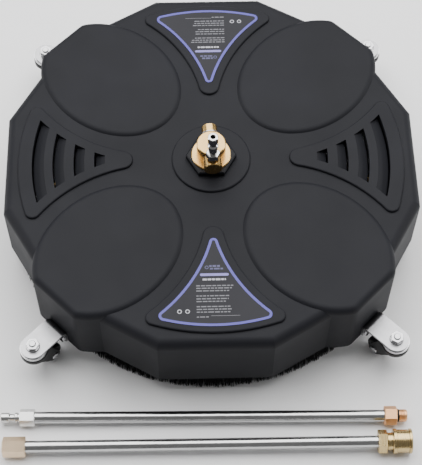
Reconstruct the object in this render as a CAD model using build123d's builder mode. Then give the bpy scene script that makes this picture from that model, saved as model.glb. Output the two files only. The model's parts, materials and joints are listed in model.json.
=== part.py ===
from build123d import *
from math import atan, cos, degrees, radians, sqrt
import os

# Surface cleaner for a pressure washer, in millimetres, standing on z = 0, +Z up, front towards -Y.
# Everything is drawn about the deck's own axis. The last section moves the whole set so that the
# origin is the centre of its footprint.

# ---- driving dimensions -------------------------------------------------------------------------

# moulded deck: a twelve-sided cover
DECK_FLATS = 480.0
DECK_SIDES = 12
DECK_TOP = 116.5
WALL_BOTTOM = 29.0
WALL = 4.0
TOP_FILLET = 11.0
RAISE = 3.0
RAISED_TOP = DECK_TOP + RAISE
RAISED_FILLET = 2.0
BOSS_RADIUS = 46.0

# egg-shaped lobes on the diagonals, cut flat where the casters bolt on
DIAGONALS = (45, 135, 225, 315)
LOBE_CENTRE = 167.0
LOBE_LENGTH = 191.0
LOBE_WIDTH = 151.0
LOBE_CHORD = 253.0
LOBE_CORNER = 12.0
LOBE_FILLET = 8.0

# raised panels on the four main sides
PANEL_SIDE_RADIUS = 171.0
PANEL_SIDE_X = 63.6
PANEL_SIDE_Y = 178.8
PANEL_TIP = 12.2
PANEL_OUTER = 225.5
PANEL_CORNER = 9.0
VENT_ANGLES = (0, 180)
SLOTS = ((209.0, 195.0), (185.0, 172.0), (160.5, 148.0), (136.5, 124.0))
SLOT_INSET = 12.4
SLOT_CORNER = 3.0
LOUVRE_GAP = 1.6
LOUVRE_DROP = 7.5
LOUVRE_THICKNESS = 2.5
LABEL_ANGLES = {"label_front": 270, "label_rear": 90}
LABEL_THICKNESS = 0.4

# shelf inside the wall, with the brush strip screwed under it
SHELF_Z = 47.0
SHELF_THICKNESS = 4.0
SHELF_INNER = 212.0
SCREW_CIRCLE = 222.0
SCREW_COUNT = 12
SCREW_RADIUS = 2.0
HOLDER_OUTER = 235.2
HOLDER_INNER = 226.5
HOLDER_SHEET = 1.5
HOLDER_BOTTOM = 33.0
BRUSH_BOTTOM = 1.2
GUSSET_COUNT = 8

# swivel through the middle of the deck
CLAMP_NUT_FLATS = 51.0
CLAMP_NUT_HEIGHT = 7.0
SHANK_RADIUS = 13.0
COLLAR_RADIUS = 23.0
COLLAR_Z = RAISED_TOP + CLAMP_NUT_HEIGHT
HEAD_RADIUS = 16.7
HEAD_Z = COLLAR_Z + 2.5
HEAD_TOP = 151.0
HEAD_FLAT = 13.8
HEAD_TURN = 3.5
PASSAGE = 3.5
GASKET = 1.5
UNDERSIDE = DECK_TOP - WALL
HOUSING_FLANGE_RADIUS = 30.0
HOUSING_RADIUS = 21.0
HOUSING_FLANGE = 6.0
HOUSING_TOP = UNDERSIDE - GASKET
HOUSING_BOTTOM = 76.0
BEARING_OUTER = 16.0
BEARING_INNER = 6.0
BEARING_WIDTH = 10.0
BEARING_ZS = (79.0, 89.2)
BEARING_BALLS = 8
SHAFT_RADIUS = 6.0
SHAFT_TOP = 103.5
SHAFT_BOTTOM = 46.0

# spinning spray arm
ARM_Z = 62.0
HUB_LENGTH = 46.0
HUB_WIDTH = 26.0
HUB_HEIGHT = 20.0
BAR_RADIUS = 5.2
BAR_BORE = 3.4
BAR_START = 10.0
NOZZLE_X = 196.0
NOZZLE_TILT = 20.0

# tilting inlet, on a spool across the swivel head
INLET_Z = 140.0
SPOOL_RADIUS = 9.2
SPOOL_FIT = 0.05
SPOOL_REAR = 29.0
ELBOW_RADIUS = 10.5
ELBOW_REAR = 14.2
ELBOW_FRONT = 29.4
PLUG_Y = -21.8
PLUG_HEX_Z = 157.0
PLUG_HEX_HEIGHT = 8.0
PLUG_HEX_FLATS = 14.0
PLUG_NOSE = 5.9
PLUG_NECK = 5.2
PLUG_REACH = 19.3
PLUG_SPIGOT = 4.8
PLUG_SPIGOT_LENGTH = 8.0
PLUG_BORE = 3.1

# casters
STEM_X = 292.0
TRAIL = 19.5
WHEEL_RADIUS = 13.0
WHEEL_WIDTH = 15.0
AXLE_RADIUS = 3.0
AXLE_X = STEM_X - TRAIL
BRACKET_WIDTH = 28.6
BRACKET_SHEET = 3.0
BRACKET_TOP = 52.0
BRACKET_BOTTOM = 31.0
BRACKET_TIP = STEM_X + BRACKET_WIDTH / 2
BOLT_Z = 36.5
BOLT_SPREAD = 9.5
BOLT_RADIUS = 3.0
STUD_RADIUS = 4.0
STEM_FIT = 0.05
RACE_RADIUS = 15.5
RACE_Z = 44.0
CROWN_Z = 38.0
CROWN_RADIUS = 16.0
FORK_INNER = 8.6
FORK_OUTER = 10.6
FORK_END = 7.5

# two lance tubes lying on the floor in front of the deck
TUBE_RADIUS = 6.8
TUBE_BORE = 4.6
REAR_WAND_START = (-244.4, -274.7)
REAR_WAND_TURN = -0.96
REAR_WAND_HEX = 17.2
REAR_WAND_FITTING_HEX = 19.2
REAR_WAND_ROLL = 11
REAR_WAND_HEX_X = 21.7
REAR_WAND_FITTING_X = 434.7
REAR_WAND_END = 460.6
MALE_THREAD = 6.8
FRONT_WAND_START = (-240.5, -310.8)
FRONT_WAND_TURN = -0.47
FRONT_WAND_NUT_HEX = 20.0
FRONT_WAND_NUT_LENGTH = 25.6
FRONT_WAND_NUT_ROLL = 18
COUPLER_HEX = 22.9
COUPLER_ROLL = 13
COUPLER_X = 420.8
COUPLER_NECK_X = 431.3
SLEEVE_X = 437.5
SLEEVE_END = 458.5
SLEEVE_WAIST = 13.0
SLEEVE_RIM = 14.0
SLEEVE_REAR_RIM = 4.4
SLEEVE_FRONT_RIM = 3.4
SLEEVE_STEP_X = 448.0
BARREL_RADIUS = 8.6
COUPLER_BORE = 5.98

FIT = 0.05
pieces = []


def save(part, label):
    """Name a finished piece and keep it for the last section, which writes it."""
    part.label = label
    pieces.append(part)


def hexagon(flats, rotation=0):
    RegularPolygon(flats / 2, 6, major_radius=False, rotation=rotation)


# ---- outlines shared by the deck, its cavity and the labels ---------------------------------------


def lobe_outline(inset):
    """Ellipse along +X, cut off flat by the caster's mounting face."""
    with BuildSketch() as outline:
        with Locations((LOBE_CENTRE, 0)):
            Ellipse(LOBE_LENGTH / 2 - inset, LOBE_WIDTH / 2 - inset)
        Rectangle(LOBE_CHORD - inset, LOBE_WIDTH, align=(Align.MIN, Align.CENTER), mode=Mode.INTERSECT)
        fillet(outline.vertices().sort_by(Axis.X)[-2:], LOBE_CORNER - inset)
    return outline.sketch


def lobe_block(inset, bottom, top, edge_radius):
    with BuildPart() as block:
        with BuildSketch(Plane.XY.offset(bottom)):
            add(lobe_outline(inset))
        extrude(amount=top - bottom)
        fillet(block.faces().sort_by(Axis.Z)[-1].edges(), edge_radius)
    return block.part


def panel_outline(inset, tip_radius, outer_radius, corner_radius):
    """Trumpet shape pointing at the deck's axis: two hollow sides between a round tip and a rim."""
    side = PANEL_SIDE_RADIUS + inset
    centre = Vector(PANEL_SIDE_X, PANEL_SIDE_Y)
    tip = Vector(PANEL_SIDE_X + sqrt((side + tip_radius) ** 2 - PANEL_SIDE_Y**2), 0)
    side_start = tip + (centre - tip).normalized() * tip_radius
    reach = centre.length
    along = (outer_radius**2 - side**2 + reach**2) / (2 * reach)
    across = sqrt(outer_radius**2 - along**2)
    towards = centre.normalized()
    side_end = towards * along + Vector(towards.Y, -towards.X) * across
    middle = centre + ((side_start - centre) + (side_end - centre)).normalized() * side
    with BuildSketch() as outline:
        with BuildLine():
            ThreePointArc(side_start, middle, side_end)
            ThreePointArc(side_end, (outer_radius, 0), (side_end.X, -side_end.Y))
            ThreePointArc((side_end.X, -side_end.Y), (middle.X, -middle.Y), (side_start.X, -side_start.Y))
            ThreePointArc((side_start.X, -side_start.Y), (tip.X - tip_radius, 0), side_start)
        make_face()
        fillet(outline.vertices().sort_by(Axis.X)[-2:], corner_radius)
    return outline.sketch


def raised(outline):
    """Flat island standing a little above the deck's top, with a rounded rim."""
    with BuildPart() as island:
        with BuildSketch(Plane.XY.offset(DECK_TOP - WALL / 2)):
            add(outline)
        extrude(amount=RAISE + WALL / 2)
        fillet(island.faces().sort_by(Axis.Z)[-1].edges(), RAISED_FILLET)
    return island.part


# ---- moulded deck ---------------------------------------------------------------------------------

outer_lobe = lobe_block(0, WALL_BOTTOM, RAISED_TOP, LOBE_FILLET)
inner_lobe = lobe_block(WALL, WALL_BOTTOM, RAISED_TOP - WALL, LOBE_FILLET / 2)
panel = raised(panel_outline(0, PANEL_TIP, PANEL_OUTER, PANEL_CORNER))

with BuildSketch() as boss_outline:
    Circle(BOSS_RADIUS)
boss = raised(boss_outline.sketch)

with BuildSketch() as vent_area:
    for angle in VENT_ANGLES:
        add(panel_outline(SLOT_INSET, SLOT_CORNER, PANEL_OUTER, SLOT_CORNER).rotate(Axis.Z, angle))

with BuildPart() as cavity:
    with BuildSketch(Plane.XY.offset(WALL_BOTTOM)):
        RegularPolygon(DECK_FLATS / 2 - WALL, DECK_SIDES, major_radius=False, rotation=180 / DECK_SIDES)
    extrude(amount=UNDERSIDE - WALL_BOTTOM)
    fillet(cavity.faces().sort_by(Axis.Z)[-1].edges(), TOP_FILLET - WALL)
    for angle in DIAGONALS:
        add(inner_lobe.rotate(Axis.Z, angle))

# the slots' sloping blades: each rises from the outer edge of its slot to the inner one
with BuildPart() as louvres:
    with BuildSketch(Plane.XZ):
        for outer, inner in SLOTS:
            with BuildLine():
                Polyline(
                    (inner - WALL, RAISED_TOP - LOUVRE_THICKNESS),
                    (inner, RAISED_TOP - 1),
                    (outer - LOUVRE_GAP, RAISED_TOP - LOUVRE_DROP),
                    (outer - LOUVRE_GAP, RAISED_TOP - LOUVRE_DROP - LOUVRE_THICKNESS),
                    (inner - WALL, RAISED_TOP - 2 * LOUVRE_THICKNESS),
                    close=True,
                )
            make_face()
    revolve(axis=Axis.Z)
    with BuildSketch(Plane.XY.offset(UNDERSIDE - 2 * TOP_FILLET)):
        for angle in VENT_ANGLES:
            add(panel_outline(SLOT_INSET - 2, SLOT_CORNER, PANEL_OUTER, SLOT_CORNER).rotate(Axis.Z, angle))
    extrude(amount=4 * TOP_FILLET, mode=Mode.INTERSECT)

with BuildPart() as bracket_holes:
    with BuildSketch(Plane.YZ.offset(LOBE_CHORD - 2 * WALL)):
        with Locations((-BOLT_SPREAD, BOLT_Z), (BOLT_SPREAD, BOLT_Z)):
            Circle(BOLT_RADIUS + FIT)
    extrude(amount=3 * WALL)

with BuildPart() as deck_shell:
    with BuildSketch(Plane.XY.offset(WALL_BOTTOM)):
        RegularPolygon(DECK_FLATS / 2, DECK_SIDES, major_radius=False, rotation=180 / DECK_SIDES)
    extrude(amount=DECK_TOP - WALL_BOTTOM)
    fillet(deck_shell.faces().sort_by(Axis.Z)[-1].edges(), TOP_FILLET)
    for angle in DIAGONALS:
        add(outer_lobe.rotate(Axis.Z, angle))
    add(cavity.part, mode=Mode.SUBTRACT)
    for angle in range(0, 360, 90):
        add(panel.rotate(Axis.Z, angle))
    add(boss)
    # slots through the side panels
    with BuildSketch(Plane.XY.offset(UNDERSIDE - TOP_FILLET)):
        for outer, inner in SLOTS:
            Circle(outer)
            Circle(inner, mode=Mode.SUBTRACT)
        add(vent_area.sketch, mode=Mode.INTERSECT)
    extrude(amount=2 * TOP_FILLET, mode=Mode.SUBTRACT)
    add(louvres.part)
    # shelf that carries the brush strip
    with BuildSketch(Plane.XY.offset(SHELF_Z)):
        RegularPolygon(DECK_FLATS / 2 - WALL / 2, DECK_SIDES, major_radius=False, rotation=180 / DECK_SIDES)
        for angle in DIAGONALS:
            add(lobe_outline(WALL / 2).rotate(Axis.Z, angle))
        Circle(SHELF_INNER, mode=Mode.SUBTRACT)
        with PolarLocations(SCREW_CIRCLE, SCREW_COUNT):
            Circle(SCREW_RADIUS + FIT, mode=Mode.SUBTRACT)
    extrude(amount=SHELF_THICKNESS)
    # gussets round the swivel
    with BuildSketch(Plane.XY.offset(UNDERSIDE - 9)):
        with PolarLocations(HOUSING_FLANGE_RADIUS + 27, GUSSET_COUNT, start_angle=180 / GUSSET_COUNT):
            Rectangle(44, 3)
    extrude(amount=10)
    # hole for the swivel's shank
    with BuildSketch(Plane.XY.offset(UNDERSIDE - 1)):
        Circle(SHANK_RADIUS + 0.3)
    extrude(amount=WALL + RAISE + 2, mode=Mode.SUBTRACT)
    # bolt holes for the caster brackets
    for angle in DIAGONALS:
        add(bracket_holes.part.rotate(Axis.Z, angle), mode=Mode.SUBTRACT)
save(deck_shell.part, "deck_shell")

for label, angle in LABEL_ANGLES.items():
    with BuildPart() as film:
        with BuildSketch(Plane.XY.offset(RAISED_TOP)):
            add(panel_outline(9.6, 4.8, 218, 6).rotate(Axis.Z, angle))
        extrude(amount=LABEL_THICKNESS)
    save(film.part, label)

# ---- brush skirt ----------------------------------------------------------------------------------

with BuildPart() as brush_holder:
    with BuildSketch(Plane.XZ):
        with BuildLine():
            Polyline(
                (SHELF_INNER + 4, SHELF_Z),
                (HOLDER_OUTER, SHELF_Z),
                (HOLDER_OUTER, HOLDER_BOTTOM),
                (HOLDER_OUTER - HOLDER_SHEET, HOLDER_BOTTOM),
                (HOLDER_OUTER - HOLDER_SHEET, SHELF_Z - HOLDER_SHEET),
                (HOLDER_INNER + HOLDER_SHEET, SHELF_Z - HOLDER_SHEET),
                (HOLDER_INNER + HOLDER_SHEET, HOLDER_BOTTOM),
                (HOLDER_INNER, HOLDER_BOTTOM),
                (HOLDER_INNER, SHELF_Z - HOLDER_SHEET),
                (SHELF_INNER + 4, SHELF_Z - HOLDER_SHEET),
                close=True,
            )
        make_face()
    revolve(axis=Axis.Z)
    with BuildSketch(Plane.XY.offset(HOLDER_BOTTOM)):
        with PolarLocations(SCREW_CIRCLE, SCREW_COUNT):
            Circle(SCREW_RADIUS + FIT)
    extrude(amount=SHELF_Z - HOLDER_BOTTOM, mode=Mode.SUBTRACT)
save(brush_holder.part, "brush_holder")

with BuildPart() as brush_bristles:
    with BuildSketch(Plane.XZ):
        with BuildLine():
            Polyline(
                (HOLDER_INNER + HOLDER_SHEET, SHELF_Z - HOLDER_SHEET),
                (HOLDER_OUTER - HOLDER_SHEET, SHELF_Z - HOLDER_SHEET),
                (HOLDER_OUTER - HOLDER_SHEET, HOLDER_BOTTOM),
                (HOLDER_OUTER, WALL_BOTTOM),
                (DECK_FLATS / 2, BRUSH_BOTTOM),
                (HOLDER_INNER + 4, BRUSH_BOTTOM),
                (HOLDER_INNER + HOLDER_SHEET, HOLDER_BOTTOM),
                close=True,
            )
        make_face()
    revolve(axis=Axis.Z)
save(brush_bristles.part, "brush_bristles")

with BuildPart() as brush_screws:
    with BuildSketch(Plane.XY.offset(SHELF_Z - HOLDER_SHEET)):
        with PolarLocations(SCREW_CIRCLE, SCREW_COUNT):
            Circle(SCREW_RADIUS)
    extrude(amount=SHELF_THICKNESS + HOLDER_SHEET + 3)
    with BuildSketch(Plane.XY.offset(SHELF_Z - HOLDER_SHEET)):
        with PolarLocations(SCREW_CIRCLE, SCREW_COUNT):
            Circle(2 * SCREW_RADIUS)
    extrude(amount=-2.4)
    fillet(brush_screws.edges().group_by(Axis.Z)[0], 1.2)
save(brush_screws.part, "brush_screws")

# ---- fixed half of the swivel ----------------------------------------------------------------------

with BuildPart() as clamp_nut:
    with BuildSketch(Plane.XY.offset(RAISED_TOP)):
        hexagon(CLAMP_NUT_FLATS)
    extrude(amount=CLAMP_NUT_HEIGHT)
    chamfer(clamp_nut.faces().sort_by(Axis.Z)[-1].edges(), 1.2)
    with BuildSketch(Plane.XY.offset(RAISED_TOP)):
        Circle(SHANK_RADIUS + FIT)
    extrude(amount=CLAMP_NUT_HEIGHT, mode=Mode.SUBTRACT)
save(clamp_nut.part, "clamp_nut")

with BuildPart() as swivel_head:
    with BuildSketch(Plane.XZ):
        with BuildLine():
            Polyline(
                (0, HOUSING_TOP - HOUSING_FLANGE),
                (SHANK_RADIUS, HOUSING_TOP - HOUSING_FLANGE),
                (SHANK_RADIUS, COLLAR_Z),
                (COLLAR_RADIUS, COLLAR_Z),
                (COLLAR_RADIUS, HEAD_Z - 0.8),
                (COLLAR_RADIUS - 0.8, HEAD_Z),
                (HEAD_RADIUS, HEAD_Z),
                (HEAD_RADIUS, HEAD_TOP - 1),
                (HEAD_RADIUS - 1, HEAD_TOP),
                (0, HEAD_TOP),
                close=True,
            )
        make_face()
    revolve(axis=Axis.Z)
    # flat on the front of the head, where the elbow turns
    with BuildSketch(Plane.XY.offset(HEAD_Z)):
        with Locations((0, -HEAD_FLAT - HEAD_RADIUS / 2)):
            Rectangle(3 * HEAD_RADIUS, HEAD_RADIUS)
    extrude(amount=HEAD_RADIUS * 2, mode=Mode.SUBTRACT)
    # cross bore for the spool, and the water passage down to the rotor
    with BuildSketch(Plane.XZ):
        with Locations((0, INLET_Z)):
            Circle(SPOOL_RADIUS + SPOOL_FIT)
    extrude(amount=HEAD_RADIUS * 2, both=True, mode=Mode.SUBTRACT)
    with BuildSketch(Plane.XY.offset(HOUSING_TOP - HOUSING_FLANGE)):
        Circle(PASSAGE)
    extrude(amount=INLET_Z - HOUSING_TOP + HOUSING_FLANGE, mode=Mode.SUBTRACT)
save(swivel_head.part.rotate(Axis.Z, HEAD_TURN), "swivel_head")

with BuildPart() as deck_gasket:
    with BuildSketch(Plane.XY.offset(HOUSING_TOP)):
        Circle(HOUSING_FLANGE_RADIUS)
        Circle(SHANK_RADIUS + 0.3, mode=Mode.SUBTRACT)
    extrude(amount=GASKET)
save(deck_gasket.part, "deck_gasket")

SEAL_BOTTOM = BEARING_ZS[1] + BEARING_WIDTH
SEAL_TOP = HOUSING_TOP - HOUSING_FLANGE
CLIP_BOTTOM = BEARING_ZS[0] - 1.5
with BuildPart() as swivel_housing:
    with BuildSketch(Plane.XZ):
        with BuildLine():
            Polyline(
                (SHANK_RADIUS + FIT, SEAL_TOP),
                (SHANK_RADIUS + FIT, HOUSING_TOP),
                (HOUSING_FLANGE_RADIUS, HOUSING_TOP),
                (HOUSING_FLANGE_RADIUS, HOUSING_TOP - HOUSING_FLANGE),
                (HOUSING_RADIUS, HOUSING_TOP - HOUSING_FLANGE),
                (HOUSING_RADIUS, HOUSING_BOTTOM),
                (BEARING_OUTER, HOUSING_BOTTOM),
                (BEARING_OUTER, CLIP_BOTTOM - FIT),
                (BEARING_OUTER + 1.2, CLIP_BOTTOM - FIT),
                (BEARING_OUTER + 1.2, BEARING_ZS[0]),
                (BEARING_OUTER, BEARING_ZS[0]),
                (BEARING_OUTER, SEAL_TOP),
                close=True,
            )
        make_face()
    revolve(axis=Axis.Z)
    fillet(swivel_housing.edges().group_by(Axis.Z)[0].sort_by(SortBy.LENGTH)[-1], 2)
save(swivel_housing.part, "swivel_housing")

with BuildPart() as bearing_circlip:
    with BuildSketch(Plane.XY.offset(CLIP_BOTTOM)):
        Circle(BEARING_OUTER + 1.2 - FIT)
        Circle(BEARING_OUTER - 2.6, mode=Mode.SUBTRACT)
        with Locations((0, BEARING_OUTER)):
            Rectangle(7, 9, mode=Mode.SUBTRACT)
    extrude(amount=BEARING_ZS[0] - CLIP_BOTTOM)
save(bearing_circlip.part, "bearing_circlip")

BALL_RADIUS = 2.8
BALL_CIRCLE = (BEARING_OUTER + BEARING_INNER) / 2
RACE_GAP = BALL_RADIUS - 0.9


def race_ring(inner_radius, outer_radius, bottom):
    """One bearing ring, with the ball track cut into it."""
    with BuildPart() as ring:
        with BuildSketch(Plane.XY.offset(bottom)):
            Circle(outer_radius)
            Circle(inner_radius, mode=Mode.SUBTRACT)
        extrude(amount=BEARING_WIDTH)
        with BuildSketch(Plane.XZ):
            with Locations((BALL_CIRCLE, bottom + BEARING_WIDTH / 2)):
                Circle(BALL_RADIUS + 0.05)
        revolve(axis=Axis.Z, mode=Mode.SUBTRACT)
    return ring.part


with BuildPart() as bearing_outer_races:
    for bottom in BEARING_ZS:
        add(race_ring(BALL_CIRCLE + RACE_GAP, BEARING_OUTER, bottom))
save(bearing_outer_races.part, "bearing_outer_races")

with BuildPart() as bearing_inner_races:
    for bottom in BEARING_ZS:
        add(race_ring(BEARING_INNER, BALL_CIRCLE - RACE_GAP, bottom))
save(bearing_inner_races.part, "bearing_inner_races")

with BuildPart() as bearing_balls:
    for bottom in BEARING_ZS:
        with Locations((0, 0, bottom + BEARING_WIDTH / 2)):
            with PolarLocations(BALL_CIRCLE, BEARING_BALLS):
                Sphere(BALL_RADIUS)
save(bearing_balls.part, "bearing_balls")

with BuildPart() as shaft_seal:
    with BuildSketch(Plane.XY.offset(SEAL_BOTTOM)):
        Circle(BEARING_OUTER)
        Circle(SHAFT_RADIUS + 0.1, mode=Mode.SUBTRACT)
    extrude(amount=SEAL_TOP - SEAL_BOTTOM)
save(shaft_seal.part, "shaft_seal")

# ---- rotor -----------------------------------------------------------------------------------------

HUB_BOTTOM = ARM_Z - HUB_HEIGHT / 2
with BuildPart() as rotor_shaft:
    with BuildSketch(Plane.XY.offset(SHAFT_BOTTOM)):
        Circle(SHAFT_RADIUS)
    extrude(amount=SHAFT_TOP - SHAFT_BOTTOM)
    with BuildSketch(Plane.XY.offset(ARM_Z)):
        Circle(PASSAGE)
    extrude(amount=SHAFT_TOP - ARM_Z, mode=Mode.SUBTRACT)
    # cross hole that feeds both arms, and the shoulder that the hub seats against
    with BuildSketch(Plane.YZ):
        with Locations((0, ARM_Z)):
            Circle(BAR_BORE)
    extrude(amount=2 * SHAFT_RADIUS, both=True, mode=Mode.SUBTRACT)
    with BuildSketch(Plane.XY.offset(HUB_BOTTOM + HUB_HEIGHT)):
        Circle(SHAFT_RADIUS + 2.5)
        Circle(SHAFT_RADIUS - 1, mode=Mode.SUBTRACT)
    extrude(amount=BEARING_ZS[0] - HUB_BOTTOM - HUB_HEIGHT)
save(rotor_shaft.part, "rotor_shaft")

with BuildPart() as rotor_hub:
    with BuildSketch(Plane.XY.offset(HUB_BOTTOM)) as hub_outline:
        Rectangle(HUB_LENGTH, HUB_WIDTH)
        fillet(hub_outline.vertices(), 5)
    extrude(amount=HUB_HEIGHT)
    chamfer(rotor_hub.faces().filter_by(Axis.Z).edges(), 1)
    with BuildSketch(Plane.XY.offset(HUB_BOTTOM)):
        Circle(SHAFT_RADIUS + FIT)
    extrude(amount=HUB_HEIGHT, mode=Mode.SUBTRACT)
    with BuildSketch(Plane.YZ.offset(-HUB_LENGTH)):
        with Locations((0, ARM_Z)):
            Circle(BAR_RADIUS + FIT)
    extrude(amount=2 * HUB_LENGTH, mode=Mode.SUBTRACT)
save(rotor_hub.part, "rotor_hub")

with BuildPart() as hub_cap_nut:
    with BuildSketch(Plane.XY.offset(HUB_BOTTOM)):
        hexagon(19)
    extrude(amount=-8)
    with BuildSketch(Plane.XY.offset(HUB_BOTTOM - 8)):
        Circle(8.2)
    extrude(amount=-2.5, taper=30)
    with BuildSketch(Plane.XY.offset(HUB_BOTTOM)):
        Circle(SHAFT_RADIUS + FIT)
    extrude(amount=-(HUB_BOTTOM - SHAFT_BOTTOM + 1), mode=Mode.SUBTRACT)
save(hub_cap_nut.part, "hub_cap_nut")

HOLDER_RADIUS = 7.5
BAR_END = NOZZLE_X - 2
with BuildPart() as spray_bars:
    for start, length in ((BAR_START, BAR_END - BAR_START), (-BAR_START, BAR_START - BAR_END)):
        with BuildSketch(Plane.YZ.offset(start)):
            with Locations((0, ARM_Z)):
                Circle(BAR_RADIUS)
                Circle(BAR_BORE, mode=Mode.SUBTRACT)
        extrude(amount=length)
save(spray_bars.part, "spray_bars")

# each holder is an elbow on the end of its bar, leaning so that the jets turn the arm
NOZZLE_AXIS = Plane(Location((NOZZLE_X, 0, ARM_Z), (NOZZLE_TILT, 0, 0)))
with BuildPart() as nozzle_holder:
    with BuildSketch(Plane.YZ.offset(BAR_END - 14)):
        with Locations((0, ARM_Z)):
            Circle(HOLDER_RADIUS)
    extrude(amount=NOZZLE_X - BAR_END + 14)
    with BuildSketch(NOZZLE_AXIS.offset(HOLDER_RADIUS)):
        Circle(HOLDER_RADIUS)
    extrude(amount=-HOLDER_RADIUS - 16)
    with BuildSketch(Plane.YZ.offset(BAR_END - 14)):
        with Locations((0, ARM_Z)):
            Circle(BAR_RADIUS + FIT)
    extrude(amount=14, mode=Mode.SUBTRACT)
    with BuildSketch(NOZZLE_AXIS.offset(-16)):
        Circle(4.0)
    extrude(amount=14, mode=Mode.SUBTRACT)
with BuildPart() as nozzle_holders:
    add(nozzle_holder.part)
    add(nozzle_holder.part.rotate(Axis.Z, 180))
save(nozzle_holders.part, "nozzle_holders")

with BuildPart() as nozzle_tip:
    with BuildSketch(NOZZLE_AXIS.offset(-8)):
        Circle(4.0 - FIT)
    extrude(amount=-8)
    with BuildSketch(NOZZLE_AXIS.offset(-16)):
        hexagon(12)
    extrude(amount=-5)
    with BuildSketch(NOZZLE_AXIS.offset(-21)):
        Circle(4.5)
    extrude(amount=-3, taper=12)
    with BuildSketch(NOZZLE_AXIS.offset(-24)):
        Rectangle(10, 1.2)
    extrude(amount=1.2, mode=Mode.SUBTRACT)
    with BuildSketch(NOZZLE_AXIS.offset(-24)):
        Circle(0.8)
    extrude(amount=16, mode=Mode.SUBTRACT)
with BuildPart() as nozzle_tips:
    add(nozzle_tip.part)
    add(nozzle_tip.part.rotate(Axis.Z, 180))
save(nozzle_tips.part, "nozzle_tips")

# ---- tilting inlet ---------------------------------------------------------------------------------

SEAL_GROOVES = (-7.5, 9.5)
SEAL_WIRE = 1.0
SEAL_FLOOR = SPOOL_RADIUS - 2 * SEAL_WIRE - 0.05
CLIP_Y = 17.0
CLIP_THICKNESS = 1.2


def plug_profile(start, neck_length):
    """Half section of a quick-connect plug: radius and height pairs from its hexagon upwards."""
    ridge = start + neck_length
    return [
        (0, start),
        (PLUG_NECK, start),
        (PLUG_NECK, ridge),
        (PLUG_NOSE + 0.2, ridge + 0.7),
        (PLUG_NOSE + 0.2, ridge + 2.8),
        (4.4, ridge + 4.6),
        (4.4, ridge + 8.6),
        (PLUG_NOSE, ridge + 10.1),
        (PLUG_NOSE, ridge + PLUG_REACH - 0.8),
        (PLUG_NOSE - 0.8, ridge + PLUG_REACH),
        (0, ridge + PLUG_REACH),
    ]


with BuildPart() as inlet_elbow:
    with BuildSketch(Plane.XZ.offset(ELBOW_REAR)):
        with Locations((0, INLET_Z)):
            Circle(ELBOW_RADIUS)
    extrude(amount=ELBOW_FRONT - ELBOW_REAR)
    chamfer(inlet_elbow.faces().sort_by(Axis.Y)[0].edges(), 0.8)
    with BuildSketch(Plane.XZ.offset(ELBOW_REAR)):
        with Locations((0, INLET_Z)):
            Circle(SPOOL_RADIUS)
    extrude(amount=-ELBOW_REAR - SPOOL_REAR)
    chamfer(inlet_elbow.faces().sort_by(Axis.Y)[-1].edges(), 0.8)
    with BuildSketch(Plane.XY.offset(INLET_Z)):
        with Locations((0, PLUG_Y)):
            Circle(6.6)
    extrude(amount=PLUG_HEX_Z - INLET_Z)
    for groove in SEAL_GROOVES:
        with BuildSketch(Plane.XZ.offset(-groove - SEAL_WIRE - 0.1)):
            with Locations((0, INLET_Z)):
                Circle(SPOOL_RADIUS + 1)
                Circle(SEAL_FLOOR, mode=Mode.SUBTRACT)
        extrude(amount=2 * SEAL_WIRE + 0.2, mode=Mode.SUBTRACT)
    with BuildSketch(Plane.XZ.offset(-CLIP_Y - CLIP_THICKNESS - 0.05)):
        with Locations((0, INLET_Z)):
            Circle(SPOOL_RADIUS + 1)
            Circle(SPOOL_RADIUS - 1.2, mode=Mode.SUBTRACT)
    extrude(amount=CLIP_THICKNESS + 0.1, mode=Mode.SUBTRACT)
    # water way: down from the plug, back along the spool and out of its underside
    with BuildSketch(Plane.XY.offset(INLET_Z)):
        with Locations((0, PLUG_Y)):
            Circle(PASSAGE)
    extrude(amount=PLUG_HEX_Z - INLET_Z, mode=Mode.SUBTRACT)
    with BuildSketch(Plane.XY.offset(PLUG_HEX_Z)):
        with Locations((0, PLUG_Y)):
            Circle(PLUG_SPIGOT + FIT)
    extrude(amount=-PLUG_SPIGOT_LENGTH, mode=Mode.SUBTRACT)
    with BuildSketch(Plane.XZ.offset(-PLUG_Y + PASSAGE)):
        with Locations((0, INLET_Z)):
            Circle(PASSAGE)
    extrude(amount=PLUG_Y - 2 * PASSAGE, mode=Mode.SUBTRACT)
    with BuildSketch(Plane.XY.offset(INLET_Z)):
        Circle(PASSAGE)
    extrude(amount=-SPOOL_RADIUS - 1, mode=Mode.SUBTRACT)
save(inlet_elbow.part.rotate(Axis.Z, HEAD_TURN), "inlet_elbow")

with BuildPart() as inlet_plug:
    with BuildSketch(Plane.XY.offset(PLUG_HEX_Z)):
        hexagon(PLUG_HEX_FLATS)
    extrude(amount=PLUG_HEX_HEIGHT)
    chamfer(inlet_plug.faces().sort_by(Axis.Z)[-1].edges(), 0.7)
    with BuildSketch(Plane.XZ):
        with BuildLine():
            Polyline(*plug_profile(PLUG_HEX_Z + PLUG_HEX_HEIGHT, 11.5), close=True)
        make_face()
    revolve(axis=Axis.Z)
    with BuildSketch(Plane.XY.offset(PLUG_HEX_Z)):
        Circle(PLUG_SPIGOT)
    extrude(amount=-PLUG_SPIGOT_LENGTH)
    with BuildSketch(Plane.XY.offset(PLUG_HEX_Z - PLUG_SPIGOT_LENGTH)):
        Circle(PLUG_BORE)
    extrude(amount=60, mode=Mode.SUBTRACT)
save(inlet_plug.part.move(Location((0, PLUG_Y, 0))).rotate(Axis.Z, HEAD_TURN), "inlet_plug")

with BuildPart() as pivot_seals:
    for groove in SEAL_GROOVES:
        with Locations(Location((0, groove, INLET_Z), (90, 0, 0))):
            Torus(SEAL_FLOOR + SEAL_WIRE + 0.02, SEAL_WIRE)
save(pivot_seals.part.rotate(Axis.Z, HEAD_TURN), "pivot_seals")

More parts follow.
